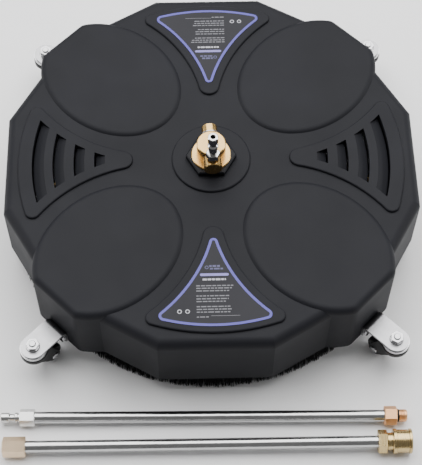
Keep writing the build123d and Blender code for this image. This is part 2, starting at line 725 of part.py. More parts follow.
with BuildPart() as pivot_circlip:
    with BuildSketch(Plane.XZ.offset(-CLIP_Y - CLIP_THICKNESS)):
        with Locations((0, INLET_Z)):
            Circle(SPOOL_RADIUS + 1.4)
            Circle(SPOOL_RADIUS - 1.1, mode=Mode.SUBTRACT)
        with Locations((0, INLET_Z - SPOOL_RADIUS)):
            Rectangle(5, 8, mode=Mode.SUBTRACT)
    extrude(amount=CLIP_THICKNESS)
save(pivot_circlip.part.rotate(Axis.Z, HEAD_TURN), "pivot_circlip")

# ---- casters: one drawn along +X, then turned to each corner ----------------------------------------

with BuildPart() as bracket:
    with BuildSketch(Plane.XZ):
        with BuildLine():
            Polyline(
                (LOBE_CHORD, BRACKET_BOTTOM),
                (LOBE_CHORD + BRACKET_SHEET, BRACKET_BOTTOM),
                (LOBE_CHORD + BRACKET_SHEET, BRACKET_TOP - BRACKET_SHEET),
                (BRACKET_TIP, BRACKET_TOP - BRACKET_SHEET),
                (BRACKET_TIP, BRACKET_TOP),
                (LOBE_CHORD, BRACKET_TOP),
                close=True,
            )
        make_face()
    extrude(amount=BRACKET_WIDTH / 2, both=True)
    bends = bracket.edges().filter_by(Axis.Y)
    fillet(bends.filter_by_position(Axis.X, LOBE_CHORD - 0.1, LOBE_CHORD + 0.1).sort_by(Axis.Z)[-1], 8)
    bends = bracket.edges().filter_by(Axis.Y)
    inner_bend = bends.filter_by_position(Axis.X, LOBE_CHORD + BRACKET_SHEET - 0.1, LOBE_CHORD + BRACKET_SHEET + 0.1)
    fillet(inner_bend.sort_by(Axis.Z)[-1], 8 - BRACKET_SHEET)
    fillet(bracket.edges().filter_by(Axis.Z).group_by(Axis.X)[-1], BRACKET_WIDTH / 2 - 0.1)
    with BuildSketch(Plane.XY.offset(BRACKET_TOP - 2 * BRACKET_SHEET)):
        with Locations((STEM_X, 0)):
            Circle(STUD_RADIUS + 0.2)
    extrude(amount=3 * BRACKET_SHEET, mode=Mode.SUBTRACT)
    with BuildSketch(Plane.YZ.offset(LOBE_CHORD - 1)):
        with Locations((-BOLT_SPREAD, BOLT_Z), (BOLT_SPREAD, BOLT_Z)):
            Circle(BOLT_RADIUS + FIT)
    extrude(amount=BRACKET_SHEET + 2, mode=Mode.SUBTRACT)

with BuildPart() as bracket_bolt_pair:
    with BuildSketch(Plane.YZ.offset(LOBE_CHORD - 10)):
        with Locations((-BOLT_SPREAD, BOLT_Z), (BOLT_SPREAD, BOLT_Z)):
            Circle(BOLT_RADIUS)
    extrude(amount=10 + BRACKET_SHEET)
    with BuildSketch(Plane.YZ.offset(LOBE_CHORD + BRACKET_SHEET)):
        with Locations((-BOLT_SPREAD, BOLT_Z), (BOLT_SPREAD, BOLT_Z)):
            Circle(5.4)
    extrude(amount=1.2)
    with BuildSketch(Plane.YZ.offset(LOBE_CHORD + BRACKET_SHEET + 1.2)):
        with Locations((-BOLT_SPREAD, BOLT_Z), (BOLT_SPREAD, BOLT_Z)):
            hexagon(8)
    extrude(amount=2.8)

with BuildPart() as bracket_nut_pair:
    with BuildSketch(Plane.YZ.offset(LOBE_CHORD - WALL)):
        with Locations((-BOLT_SPREAD, BOLT_Z), (BOLT_SPREAD, BOLT_Z)):
            hexagon(10)
            Circle(BOLT_RADIUS + FIT, mode=Mode.SUBTRACT)
    extrude(amount=-4.5)

NUT_HEIGHT = 7.0
with BuildPart() as caster_nut:
    with BuildSketch(Plane.XY.offset(BRACKET_TOP)):
        with Locations((STEM_X, 0)):
            Circle(8.0)
    extrude(amount=1.5)
    chamfer(caster_nut.faces().sort_by(Axis.Z)[-1].edges(), 0.7)
    with BuildSketch(Plane.XY.offset(BRACKET_TOP)):
        with Locations((STEM_X, 0)):
            hexagon(12.6, rotation=15)
    extrude(amount=NUT_HEIGHT)
    with BuildSketch(Plane.XY.offset(BRACKET_TOP)):
        with Locations((STEM_X, 0)):
            Circle(STUD_RADIUS + FIT)
    extrude(amount=NUT_HEIGHT, mode=Mode.SUBTRACT)

RACE_TOP = BRACKET_TOP - BRACKET_SHEET
with BuildPart() as stem:
    with BuildSketch(Plane.XY.offset(RACE_Z)):
        with Locations((STEM_X, 0)):
            Circle(RACE_RADIUS)
    extrude(amount=RACE_TOP - RACE_Z)
    fillet(stem.faces().sort_by(Axis.Z)[0].edges(), 1.5)
    # threaded stud up through the bracket, and the pin that the fork turns on
    with BuildSketch(Plane.XY.offset(RACE_TOP)):
        with Locations((STEM_X, 0)):
            Circle(STUD_RADIUS)
    extrude(amount=BRACKET_SHEET + NUT_HEIGHT + 1.6)
    chamfer(stem.faces().sort_by(Axis.Z)[-1].edges(), 0.8)
    with BuildSketch(Plane.XY.offset(RACE_Z)):
        with Locations((STEM_X, 0)):
            Circle(STUD_RADIUS)
    extrude(amount=CROWN_Z - RACE_Z - 2)
    with BuildSketch(Plane.XY.offset(CROWN_Z - 0.3)):
        with Locations((STEM_X, 0)):
            Circle(6)
    extrude(amount=-2.4)
    fillet(stem.faces().sort_by(Axis.Z)[0].edges(), 1)

with BuildPart() as fork:
    with BuildSketch(Plane.XY.offset(CROWN_Z)):
        with Locations((STEM_X, 0)):
            Circle(CROWN_RADIUS)
        with Locations((STEM_X - 14, 0)):
            Circle(FORK_OUTER)
        make_hull()
    extrude(amount=RACE_Z - CROWN_Z - 0.3)
    fillet(fork.faces().sort_by(Axis.Z)[-1].edges(), 1.5)
    # the two cheeks: the hull of the axle boss and the crown's edge
    for side in (FORK_INNER, -FORK_OUTER):
        with BuildSketch(Plane.XZ.offset(side)):
            with Locations((AXLE_X, WHEEL_RADIUS)):
                Circle(FORK_END)
            with Locations((STEM_X - 3, CROWN_Z + 1)):
                Rectangle(26, 2)
            make_hull()
        extrude(amount=FORK_OUTER - FORK_INNER)
    with BuildSketch(Plane.XZ):
        with Locations((AXLE_X, WHEEL_RADIUS)):
            Circle(AXLE_RADIUS + 0.02)
    extrude(amount=FORK_OUTER + 1, both=True, mode=Mode.SUBTRACT)
    with BuildSketch(Plane.XY.offset(CROWN_Z - 1)):
        with Locations((STEM_X, 0)):
            Circle(STUD_RADIUS + STEM_FIT)
    extrude(amount=RACE_Z - CROWN_Z + 2, mode=Mode.SUBTRACT)

with BuildPart() as wheel:
    with BuildSketch(Plane.XZ):
        with Locations((AXLE_X, WHEEL_RADIUS)):
            Circle(WHEEL_RADIUS)
    extrude(amount=WHEEL_WIDTH / 2, both=True)
    fillet(wheel.faces().filter_by(Axis.Y).edges(), 2.5)
    for side in (WHEEL_WIDTH / 2 - 1.2, -WHEEL_WIDTH / 2):
        with BuildSketch(Plane.XZ.offset(side)):
            with Locations((AXLE_X, WHEEL_RADIUS)):
                Circle(8.5)
                Circle(5, mode=Mode.SUBTRACT)
        extrude(amount=1.2, mode=Mode.SUBTRACT)
    with BuildSketch(Plane.XZ):
        with Locations((AXLE_X, WHEEL_RADIUS)):
            Circle(AXLE_RADIUS + 0.05)
    extrude(amount=WHEEL_WIDTH, both=True, mode=Mode.SUBTRACT)

with BuildPart() as axle:
    with BuildSketch(Plane.XZ):
        with Locations((AXLE_X, WHEEL_RADIUS)):
            Circle(AXLE_RADIUS)
    extrude(amount=FORK_OUTER, both=True)
    for side in (FORK_OUTER, -FORK_OUTER - 1.8):
        with BuildSketch(Plane.XZ.offset(side)):
            with Locations((AXLE_X, WHEEL_RADIUS)):
                Circle(4.6)
        extrude(amount=1.8)
    ends = axle.faces().filter_by(Axis.Y).sort_by(Axis.Y)
    fillet([*ends[0].edges(), *ends[-1].edges()], 1.2)

CORNERS = {"rear_right": 45, "rear_left": 135, "front_left": 225, "front_right": 315}
for corner, angle in CORNERS.items():
    save(bracket.part.rotate(Axis.Z, angle), f"bracket_{corner}")
    save(stem.part.rotate(Axis.Z, angle), f"stem_{corner}")
    save(fork.part.rotate(Axis.Z, angle), f"fork_{corner}")
    save(wheel.part.rotate(Axis.Z, angle), f"wheel_{corner}")
    save(axle.part.rotate(Axis.Z, angle), f"axle_{corner}")

for label, fixing in {
    "bracket_bolts": bracket_bolt_pair.part,
    "bracket_nuts": bracket_nut_pair.part,
    "caster_nuts": caster_nut.part,
}.items():
    with BuildPart() as fixings:
        for angle in CORNERS.values():
            add(fixing.rotate(Axis.Z, angle))
    save(fixings.part, label)

# ---- lance tubes: drawn along +X from their left end, then laid on the floor ---------------------------

TUBE_INSERT = 10.0
REAR_WAND_TUBE = (REAR_WAND_HEX_X + 6.8, REAR_WAND_FITTING_X + TUBE_INSERT)
FRONT_WAND_TUBE = (FRONT_WAND_NUT_LENGTH - TUBE_INSERT, COUPLER_X + TUBE_INSERT)


def corner_height(flats, roll):
    """How far the lowest corner of a rolled hexagon lies below its axis."""
    return flats / 2 / cos(radians(30)) * cos(radians(30 - roll))


REAR_WAND_SUPPORTS = (
    (REAR_WAND_HEX_X, corner_height(REAR_WAND_HEX, REAR_WAND_ROLL)),
    (REAR_WAND_FITTING_X, corner_height(REAR_WAND_FITTING_HEX, REAR_WAND_ROLL)),
)
FRONT_WAND_SUPPORTS = ((0, corner_height(FRONT_WAND_NUT_HEX, FRONT_WAND_NUT_ROLL)), (SLEEVE_X, SLEEVE_RIM))


def lay(part, start, turn, supports):
    """Put a wand on the floor; supports are the two places (x, radius) where it rests."""
    (near_x, near_radius), (far_x, far_radius) = supports
    slope = (far_radius - near_radius) / (far_x - near_x)
    height = near_radius - slope * near_x
    turned = part.rotate(Axis.Y, -degrees(atan(slope))).rotate(Axis.Z, turn)
    return turned.move(Location((start[0], start[1], height)))


def save_rear_wand(part, label):
    save(lay(part, REAR_WAND_START, REAR_WAND_TURN, REAR_WAND_SUPPORTS), label)


def save_front_wand(part, label):
    save(lay(part, FRONT_WAND_START, FRONT_WAND_TURN, FRONT_WAND_SUPPORTS), label)


def round_bar(profile):
    """Solid turned about X from (x, radius) pairs; the first and last pairs close onto the axis."""
    with BuildPart() as turned:
        with BuildSketch(Plane.XZ):
            with BuildLine():
                Polyline((profile[0][0], 0), *profile, (profile[-1][0], 0), close=True)
            make_face()
        revolve(axis=Axis.X)
    return turned.part


def wand_tube(span):
    with BuildPart() as tube:
        with BuildSketch(Plane.YZ.offset(span[0])):
            Circle(TUBE_RADIUS)
            Circle(TUBE_BORE, mode=Mode.SUBTRACT)
        extrude(amount=span[1] - span[0])
    return tube.part


# rear wand: plug at the left end, threaded nipple at the right end
save_rear_wand(wand_tube(REAR_WAND_TUBE), "rear_wand_tube")

REAR_WAND_HEX_LENGTH = 16.8
with BuildPart() as rear_wand_plug:
    nose = plug_profile(0, REAR_WAND_HEX_X - PLUG_REACH)
    add(round_bar([(REAR_WAND_HEX_X - height, radius) for radius, height in reversed(nose[1:-1])]))
    with BuildSketch(Plane.YZ.offset(REAR_WAND_HEX_X)):
        hexagon(REAR_WAND_HEX, rotation=REAR_WAND_ROLL)
    extrude(amount=REAR_WAND_HEX_LENGTH)
    chamfer(rear_wand_plug.faces().sort_by(Axis.X)[-1].edges(), 0.8)
    with BuildSketch(Plane.YZ):
        Circle(PLUG_BORE)
    extrude(amount=REAR_WAND_TUBE[0], mode=Mode.SUBTRACT)
    with BuildSketch(Plane.YZ.offset(REAR_WAND_TUBE[0])):
        Circle(TUBE_RADIUS + FIT)
    extrude(amount=REAR_WAND_HEX_LENGTH, mode=Mode.SUBTRACT)
save_rear_wand(rear_wand_plug.part, "rear_wand_plug")

NIPPLE_BORE = 4.0
NIPPLE_SEAT_X = 449.1
NIPPLE_THREAD_X = 451.6
ORING_WIRE = 1.1
ORING_RADIUS = 6.45
with BuildPart() as rear_wand_nipple:
    with BuildSketch(Plane.YZ.offset(REAR_WAND_FITTING_X)):
        hexagon(REAR_WAND_FITTING_HEX, rotation=REAR_WAND_ROLL)
    extrude(amount=NIPPLE_SEAT_X - REAR_WAND_FITTING_X)
    chamfer(rear_wand_nipple.faces().filter_by(Axis.X).edges(), 0.8)
    seat = ORING_RADIUS - ORING_WIRE - FIT
    add(
        round_bar(
            [
                (NIPPLE_SEAT_X - 1, seat),
                (NIPPLE_THREAD_X, seat),
                (NIPPLE_THREAD_X, MALE_THREAD),
                (REAR_WAND_END - 1, MALE_THREAD),
                (REAR_WAND_END, MALE_THREAD - 1),
            ]
        )
    )
    with BuildSketch(Plane.YZ.offset(REAR_WAND_FITTING_X)):
        Circle(NIPPLE_BORE)
    extrude(amount=REAR_WAND_END - REAR_WAND_FITTING_X, mode=Mode.SUBTRACT)
    with BuildSketch(Plane.YZ.offset(REAR_WAND_FITTING_X)):
        Circle(TUBE_RADIUS + FIT)
    extrude(amount=TUBE_INSERT, mode=Mode.SUBTRACT)
save_rear_wand(rear_wand_nipple.part, "rear_wand_nipple")

with BuildPart() as rear_wand_oring:
    with Locations(Location(((NIPPLE_SEAT_X + NIPPLE_THREAD_X) / 2, 0, 0), (0, 90, 0))):
        Torus(ORING_RADIUS, ORING_WIRE)
save_rear_wand(rear_wand_oring.part, "rear_wand_oring")

# front wand: threaded nut at the left end, quick coupler at the right end
save_front_wand(wand_tube(FRONT_WAND_TUBE), "front_wand_tube")

NUT_THREAD_DEPTH = 12.0
with BuildPart() as front_wand_nut:
    with BuildSketch(Plane.YZ):
        hexagon(FRONT_WAND_NUT_HEX, rotation=FRONT_WAND_NUT_ROLL)
    extrude(amount=FRONT_WAND_NUT_LENGTH)
    chamfer(front_wand_nut.faces().filter_by(Axis.X).edges(), 0.8)
    with BuildSketch(Plane.YZ):
        Circle(NIPPLE_BORE)
    extrude(amount=FRONT_WAND_NUT_LENGTH, mode=Mode.SUBTRACT)
    with BuildSketch(Plane.YZ):
        Circle(MALE_THREAD + FIT)
    extrude(amount=NUT_THREAD_DEPTH, mode=Mode.SUBTRACT)
    with BuildSketch(Plane.YZ.offset(FRONT_WAND_TUBE[0])):
        Circle(TUBE_RADIUS + FIT)
    extrude(amount=TUBE_INSERT, mode=Mode.SUBTRACT)
save_front_wand(front_wand_nut.part, "front_wand_nut")

COUPLER_END = 457.0
COUPLER_SEAT_X = 436.0
SEAT_THICKNESS = 1.8
SEAT_RADIUS = 5.4
LOCK_X = 450.5
LOCK_BALL = 1.25
LOCK_CIRCLE = 7.24
LAND_END = 453.0
NECK_RADIUS = 9.8
RING_THICKNESS = 1.2
with BuildPart() as coupler_body:
    with BuildSketch(Plane.YZ.offset(COUPLER_X)):
        hexagon(COUPLER_HEX, rotation=COUPLER_ROLL)
    extrude(amount=COUPLER_NECK_X - COUPLER_X)
    chamfer(coupler_body.faces().filter_by(Axis.X).edges(), 0.8)
    add(
        round_bar(
            [
                (COUPLER_NECK_X - 2, NECK_RADIUS),
                (SLEEVE_X, NECK_RADIUS),
                (SLEEVE_X, BARREL_RADIUS),
                (LAND_END - FIT, BARREL_RADIUS),
                (LAND_END - FIT, BARREL_RADIUS - 0.8),
                (LAND_END + RING_THICKNESS + FIT, BARREL_RADIUS - 0.8),
                (LAND_END + RING_THICKNESS + FIT, BARREL_RADIUS),
                (COUPLER_END, BARREL_RADIUS),
            ]
        )
    )
    with BuildSketch(Plane.YZ.offset(COUPLER_X)):
        Circle(3.2)
    extrude(amount=COUPLER_END - COUPLER_X, mode=Mode.SUBTRACT)
    with BuildSketch(Plane.YZ.offset(COUPLER_X)):
        Circle(TUBE_RADIUS + FIT)
    extrude(amount=TUBE_INSERT, mode=Mode.SUBTRACT)
    with BuildSketch(Plane.YZ.offset(COUPLER_SEAT_X)):
        Circle(SEAT_RADIUS)
    extrude(amount=SEAT_THICKNESS, mode=Mode.SUBTRACT)
    with BuildSketch(Plane.YZ.offset(COUPLER_SEAT_X + SEAT_THICKNESS)):
        Circle(COUPLER_BORE)
    extrude(amount=COUPLER_END - COUPLER_SEAT_X, mode=Mode.SUBTRACT)
    with BuildSketch(Plane.YZ.offset(COUPLER_END)):
        Circle(PLUG_NOSE + 0.5)
    extrude(amount=-3.5, mode=Mode.SUBTRACT)
    with Locations(Location((LOCK_X, 0, 0), (0, 90, 0))):
        with PolarLocations(LOCK_CIRCLE, 6):
            Sphere(LOCK_BALL + FIT, mode=Mode.SUBTRACT)
save_front_wand(coupler_body.part, "coupler_body")

with BuildPart() as coupler_balls:
    with Locations(Location((LOCK_X, 0, 0), (0, 90, 0))):
        with PolarLocations(LOCK_CIRCLE, 6):
            Sphere(LOCK_BALL)
save_front_wand(coupler_balls.part, "coupler_balls")

with BuildPart() as coupler_seal:
    with BuildSketch(Plane.YZ.offset(COUPLER_SEAT_X)):
        Circle(SEAT_RADIUS - FIT)
        Circle(3.4, mode=Mode.SUBTRACT)
    extrude(amount=SEAT_THICKNESS)
save_front_wand(coupler_seal.part, "coupler_seal")

with BuildPart() as coupler_snap_ring:
    with BuildSketch(Plane.YZ.offset(LAND_END)):
        Circle(BARREL_RADIUS + 0.9)
        Circle(BARREL_RADIUS - 0.75, mode=Mode.SUBTRACT)
        with Locations((0, BARREL_RADIUS)):
            Rectangle(4, 5, mode=Mode.SUBTRACT)
    extrude(amount=RING_THICKNESS)
save_front_wand(coupler_snap_ring.part, "coupler_snap_ring")

SPRING_WIRE = 0.55
SPRING_RADIUS = 9.35
SPRING_SPAN = SLEEVE_STEP_X - SLEEVE_X - 2 * SPRING_WIRE
with BuildPart() as coupler_spring:
    with BuildLine() as coil:
        Helix(SPRING_SPAN / 4, SPRING_SPAN, SPRING_RADIUS, center=(SLEEVE_X + SPRING_WIRE, 0, 0), direction=(1, 0, 0))
    with BuildSketch(Plane(origin=coil.line @ 0, z_dir=coil.line % 0)):
        Circle(SPRING_WIRE)
    sweep(is_frenet=True)
save_front_wand(coupler_spring.part, "coupler_spring")

with BuildPart() as coupler_sleeve:
    with BuildSketch(Plane.XZ):
        with BuildLine():
            Polyline(
                (SLEEVE_X, NECK_RADIUS + 0.3),
                (SLEEVE_X, SLEEVE_RIM - 0.5),
                (SLEEVE_X + 0.5, SLEEVE_RIM),
                (SLEEVE_X + SLEEVE_REAR_RIM - 0.5, SLEEVE_RIM),
                (SLEEVE_X + SLEEVE_REAR_RIM, SLEEVE_WAIST),
                (SLEEVE_END - SLEEVE_FRONT_RIM, SLEEVE_WAIST),
                (SLEEVE_END - SLEEVE_FRONT_RIM + 0.5, SLEEVE_RIM),
                (SLEEVE_END - 0.6, SLEEVE_RIM),
                (SLEEVE_END, SLEEVE_RIM - 0.6),
                (SLEEVE_END, BARREL_RADIUS + 1.2),
                (LAND_END, BARREL_RADIUS + 1.2),
                (LAND_END, BARREL_RADIUS + 0.08),
                (SLEEVE_STEP_X, BARREL_RADIUS + 0.08),
                (SLEEVE_STEP_X, NECK_RADIUS + 0.3),
                close=True,
            )
        make_face()
    revolve(axis=Axis.X)
save_front_wand(coupler_sleeve.part, "coupler_sleeve")

# ---- one common origin: the centre of the footprint, on the floor ------------------------------------

os.makedirs("parts", exist_ok=True)
boxes = [piece.bounding_box() for piece in pieces]
centre_x = (min(box.min.X for box in boxes) + max(box.max.X for box in boxes)) / 2
centre_y = (min(box.min.Y for box in boxes) + max(box.max.Y for box in boxes)) / 2
for piece in pieces:
    piece.move(Location((-centre_x, -centre_y, 0)))
    export_step(piece, f"parts/{piece.label}.step")
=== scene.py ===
import json
import math
import random

import bpy
from mathutils import Matrix, Vector


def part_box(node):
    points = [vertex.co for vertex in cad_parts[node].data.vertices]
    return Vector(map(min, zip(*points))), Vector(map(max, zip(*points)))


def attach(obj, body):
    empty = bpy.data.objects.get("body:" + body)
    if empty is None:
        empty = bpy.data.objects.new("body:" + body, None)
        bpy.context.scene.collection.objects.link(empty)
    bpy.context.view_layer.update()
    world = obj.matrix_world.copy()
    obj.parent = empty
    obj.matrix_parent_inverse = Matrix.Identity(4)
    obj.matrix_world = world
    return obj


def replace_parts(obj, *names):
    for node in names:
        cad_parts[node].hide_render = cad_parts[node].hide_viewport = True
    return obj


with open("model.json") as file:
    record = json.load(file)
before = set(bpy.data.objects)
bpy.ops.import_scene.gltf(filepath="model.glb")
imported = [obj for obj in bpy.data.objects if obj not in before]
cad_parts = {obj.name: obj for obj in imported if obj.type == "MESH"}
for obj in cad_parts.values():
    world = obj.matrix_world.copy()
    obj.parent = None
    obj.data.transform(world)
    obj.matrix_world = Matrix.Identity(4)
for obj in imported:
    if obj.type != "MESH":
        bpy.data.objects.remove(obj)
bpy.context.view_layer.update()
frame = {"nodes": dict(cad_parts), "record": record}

MM = 0.001
random.seed(11)

low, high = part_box("deck_shell")
AXIS = Vector(((low[0] + high[0]) / 2, (low[1] + high[1]) / 2, 0))


# ---- materials --------------------------------------------------------------------------------------


class Shader:
    """A Principled material with a few helpers for procedural detail, in object space and metres."""

    def __init__(self, name, metallic=0.0, roughness=0.5, **sockets):
        self.material = bpy.data.materials.new(name)
        self.material.use_nodes = True
        self.nodes = self.material.node_tree.nodes
        self.links = self.material.node_tree.links
        self.bsdf = self.nodes["Principled BSDF"]
        self.bsdf.inputs["Metallic"].default_value = metallic
        self.bsdf.inputs["Roughness"].default_value = roughness
        for socket, value in sockets.items():
            self.bsdf.inputs[socket.replace("_", " ")].default_value = value
        self.height = None

    def coordinates(self, stretch=(1, 1, 1), turn=(0, 0, 0)):
        texture = self.nodes.new("ShaderNodeTexCoord")
        mapping = self.nodes.new("ShaderNodeMapping")
        mapping.inputs["Scale"].default_value = stretch
        mapping.inputs["Rotation"].default_value = turn
        self.links.new(texture.outputs["Object"], mapping.inputs["Vector"])
        return mapping.outputs["Vector"]

    def noise(self, scale, detail=3.0, stretch=(1, 1, 1), turn=(0, 0, 0), distortion=0.0):
        node = self.nodes.new("ShaderNodeTexNoise")
        node.inputs["Scale"].default_value = scale
        node.inputs["Detail"].default_value = detail
        node.inputs["Distortion"].default_value = distortion
        self.links.new(self.coordinates(stretch, turn), node.inputs["Vector"])
        return node.outputs["Fac"]

    def ramp(self, factor, stops):
        node = self.nodes.new("ShaderNodeValToRGB")
        ramp = node.color_ramp
        while len(ramp.elements) < len(stops):
            ramp.elements.new(0.5)
        for element, (position, colour) in zip(ramp.elements, stops):
            element.position = position
            element.color = (*colour, 1)
        self.links.new(factor, node.inputs["Fac"])
        return node.outputs["Color"]

    def colour(self, factor, stops):
        self.links.new(self.ramp(factor, stops), self.bsdf.inputs["Base Color"])
        return self

    def rough(self, factor, low, high):
        node = self.nodes.new("ShaderNodeMapRange")
        node.inputs["To Min"].default_value = low
        node.inputs["To Max"].default_value = high
        self.links.new(factor, node.inputs["Value"])
        self.links.new(node.outputs["Result"], self.bsdf.inputs["Roughness"])
        return self

    def bump(self, factor, strength, distance):
        node = self.nodes.new("ShaderNodeBump")
        node.inputs["Strength"].default_value = strength
        node.inputs["Distance"].default_value = distance
        self.links.new(factor, node.inputs["Height"])
        if self.height is not None:
            self.links.new(self.height, node.inputs["Normal"])
        self.height = node.outputs["Normal"]
        self.links.new(self.height, self.bsdf.inputs["Normal"])
        return self


def tone(colour, factor):
    """The same colour, darker or lighter."""
    return tuple(channel * factor for channel in colour)


def moulded(name, colour, roughness, grain=0.12, grain_scale=1500, specular=0.5):
    """Moulded plastic: fine spark-eroded grain, slow changes of sheen, faint handling marks."""
    shader = Shader(name, roughness=roughness, Specular_IOR_Level=specular)
    shader.colour(shader.noise(9, 4), [(0.3, tone(colour, 0.9)), (0.7, tone(colour, 1.12))])
    shader.rough(shader.noise(26, 5, distortion=0.4), roughness - 0.06, roughness + 0.07)
    shader.bump(shader.noise(grain_scale, 2), grain, 0.0002)
    return shader.material


TARNISH = 0.9


def metal(name, colour, roughness, brush=(1, 1, 1), brush_scale=900, strength=0.12):
    """Bare metal with tool marks drawn out where brush is small, and slight tarnish."""
    shader = Shader(name, metallic=1.0, roughness=roughness)
    shader.colour(shader.noise(60, 5), [(0.3, tone(colour, TARNISH)), (0.65, colour)])
    marks = shader.noise(brush_scale, 4, stretch=brush)
    shader.rough(marks, roughness * 0.75, roughness * 1.35)
    shader.bump(marks, strength, 0.00015)
    return shader.material


def rubber(name, colour, roughness=0.6):
    """Dull rubber with a fine, uneven skin."""
    shader = Shader(name, roughness=roughness, Specular_IOR_Level=0.35)
    shader.colour(shader.noise(90, 3), [(0.35, tone(colour, 0.8)), (0.7, tone(colour, 1.4))])
    shader.rough(shader.noise(200, 3), roughness - 0.1, roughness + 0.1)
    shader.bump(shader.noise(1200, 2), 0.15, 0.0002)
    return shader.material


def ink(name, colour):
    """Screen print: nearly even, with a slight sheen."""
    shader = Shader(name, roughness=0.38)
    shader.colour(shader.noise(220, 3), [(0.3, tone(colour, 0.93)), (0.7, colour)])
    shader.bump(shader.noise(1500, 1), 0.05, 0.0001)
    return shader.material


# how noise is stretched into tool marks: along an axis when drawn, round it when turned
DRAWN_X = (0.03, 1, 1)
DRAWN_Z = (1, 1, 0.08)
TURNED_X = (1, 0.05, 0.05)
TURNED_Z = (0.05, 0.05, 1)

DECK = moulded("deck_plastic", (0.0126, 0.013, 0.016), 0.55, specular=0.12)
NUT = moulded("clamp_nut_black", (0.006, 0.0063, 0.0085), 0.4, specular=0.16)
FORK = moulded("fork_black", (0.012, 0.012, 0.013), 0.45, grain=0.2, grain_scale=2200, specular=0.3)
WHEEL = moulded("wheel_black", (0.006, 0.006, 0.007), 0.32, specular=0.3)
FILM = moulded("label_film", (0.0185, 0.0185, 0.023), 0.42, grain=0.05, specular=0.15)
BORDER = ink("label_periwinkle", (0.052, 0.044, 0.34))
WHITE_INK = ink("label_white", (0.42, 0.42, 0.46))
LILAC_INK = ink("label_lilac", (0.2, 0.18, 0.5))
GREY_INK = ink("label_grey", (0.13, 0.13, 0.15))
BLUE_INK = ink("label_blue", (0.045, 0.045, 0.14))
BRASS = metal("brass", (0.58, 0.38, 0.15), 0.27, brush=DRAWN_Z)
WAND_BRASS = metal("brass_drawn", (0.84, 0.65, 0.45), 0.4, brush=DRAWN_X)
COUPLER_BRASS = metal("brass_turned", (0.56, 0.42, 0.2), 0.26, brush=TURNED_X)
COPPER_BRASS = metal("brass_reddish", (0.8, 0.45, 0.23), 0.38, brush=DRAWN_X)
TUBE_STEEL = metal("tube_steel", (0.56, 0.56, 0.56), 0.2, brush=DRAWN_X, brush_scale=1400)
PLUG_STEEL = metal("plug_steel", (0.66, 0.66, 0.65), 0.2, brush=TURNED_X)
INLET_STEEL = metal("inlet_steel", (0.62, 0.61, 0.6), 0.16, brush=TURNED_Z)
BRACKET_STEEL = metal("bracket_steel", (0.4, 0.4, 0.41), 0.3, brush_scale=260, strength=0.08)
ZINC = metal("zinc_plate", (0.55, 0.55, 0.56), 0.24, brush_scale=500)
BEARING = metal("bearing_steel", (0.75, 0.75, 0.76), 0.12)
SPRING = metal("spring_steel", (0.5, 0.5, 0.52), 0.3)
ALUMINIUM = metal("aluminium_strip", (0.72, 0.72, 0.73), 0.38, brush_scale=600)
BLACK_RUBBER = rubber("black_rubber", (0.006, 0.006, 0.006))
SEAT = rubber("seat_white", (0.7, 0.7, 0.64), 0.45)
BRISTLE = moulded("bristle_black", (0.005, 0.005, 0.0058), 0.6, specular=0.1)

LOOKS = {
    "deck_shell": DECK,
    "label_front": FILM,
    "label_rear": FILM,
    "brush_holder": ALUMINIUM,
    "brush_screws": ZINC,
    "clamp_nut": NUT,
    "swivel_head": BRASS,
    "deck_gasket": BLACK_RUBBER,
    "swivel_housing": BRASS,
    "bearing_outer_races": BEARING,
    "bearing_inner_races": BEARING,
    "bearing_balls": BEARING,
    "bearing_circlip": SPRING,
    "shaft_seal": BLACK_RUBBER,
    "bracket_bolts": ZINC,
    "bracket_nuts": ZINC,
    "caster_nuts": ZINC,
    "rotor_shaft": PLUG_STEEL,
    "rotor_hub": BRASS,
    "hub_cap_nut": BRASS,
    "spray_bars": TUBE_STEEL,
    "nozzle_holders": BRASS,
    "nozzle_tips": PLUG_STEEL,
    "inlet_elbow": BRASS,
    "inlet_plug": INLET_STEEL,
    "pivot_seals": BLACK_RUBBER,
    "pivot_circlip": SPRING,
    "rear_wand_tube": TUBE_STEEL,
    "rear_wand_plug": PLUG_STEEL,
    "rear_wand_nipple": COPPER_BRASS,
    "rear_wand_oring": BLACK_RUBBER,
    "front_wand_tube": TUBE_STEEL,
    "front_wand_nut": WAND_BRASS,
    "coupler_body": COUPLER_BRASS,
    "coupler_sleeve": COUPLER_BRASS,
    "coupler_balls": BEARING,
    "coupler_seal": SEAT,
    "coupler_snap_ring": SPRING,
    "coupler_spring": SPRING,
    "brush_bristles": BRISTLE,
}
for corner in ("rear_right", "rear_left", "front_left", "front_right"):
    LOOKS[f"bracket_{corner}"] = BRACKET_STEEL
    LOOKS[f"stem_{corner}"] = ZINC
    LOOKS[f"fork_{corner}"] = FORK
    LOOKS[f"axle_{corner}"] = ZINC
    LOOKS[f"wheel_{corner}"] = WHEEL

for name, node in frame["nodes"].items():
    node.data.materials.clear()
    node.data.materials.append(LOOKS[name])


def piece(name, vertices, faces, materials, body, smooth=False, face_materials=None):
    """A new mesh that rides on a body; vertices are in metres in the shared frame."""
    mesh = bpy.data.meshes.new(name)
    mesh.from_pydata(vertices, [], faces)
    for material in materials:
        mesh.materials.append(material)
    if face_materials:
        mesh.polygons.foreach_set("material_index", face_materials)
    if smooth:
        mesh.polygons.foreach_set("use_smooth", [True] * len(mesh.polygons))
    mesh.update()
    thing = bpy.data.objects.new(name, mesh)
    bpy.context.scene.collection.objects.link(thing)
    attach(thing, body)
    return thing


# ---- label print ------------------------------------------------------------------------------------

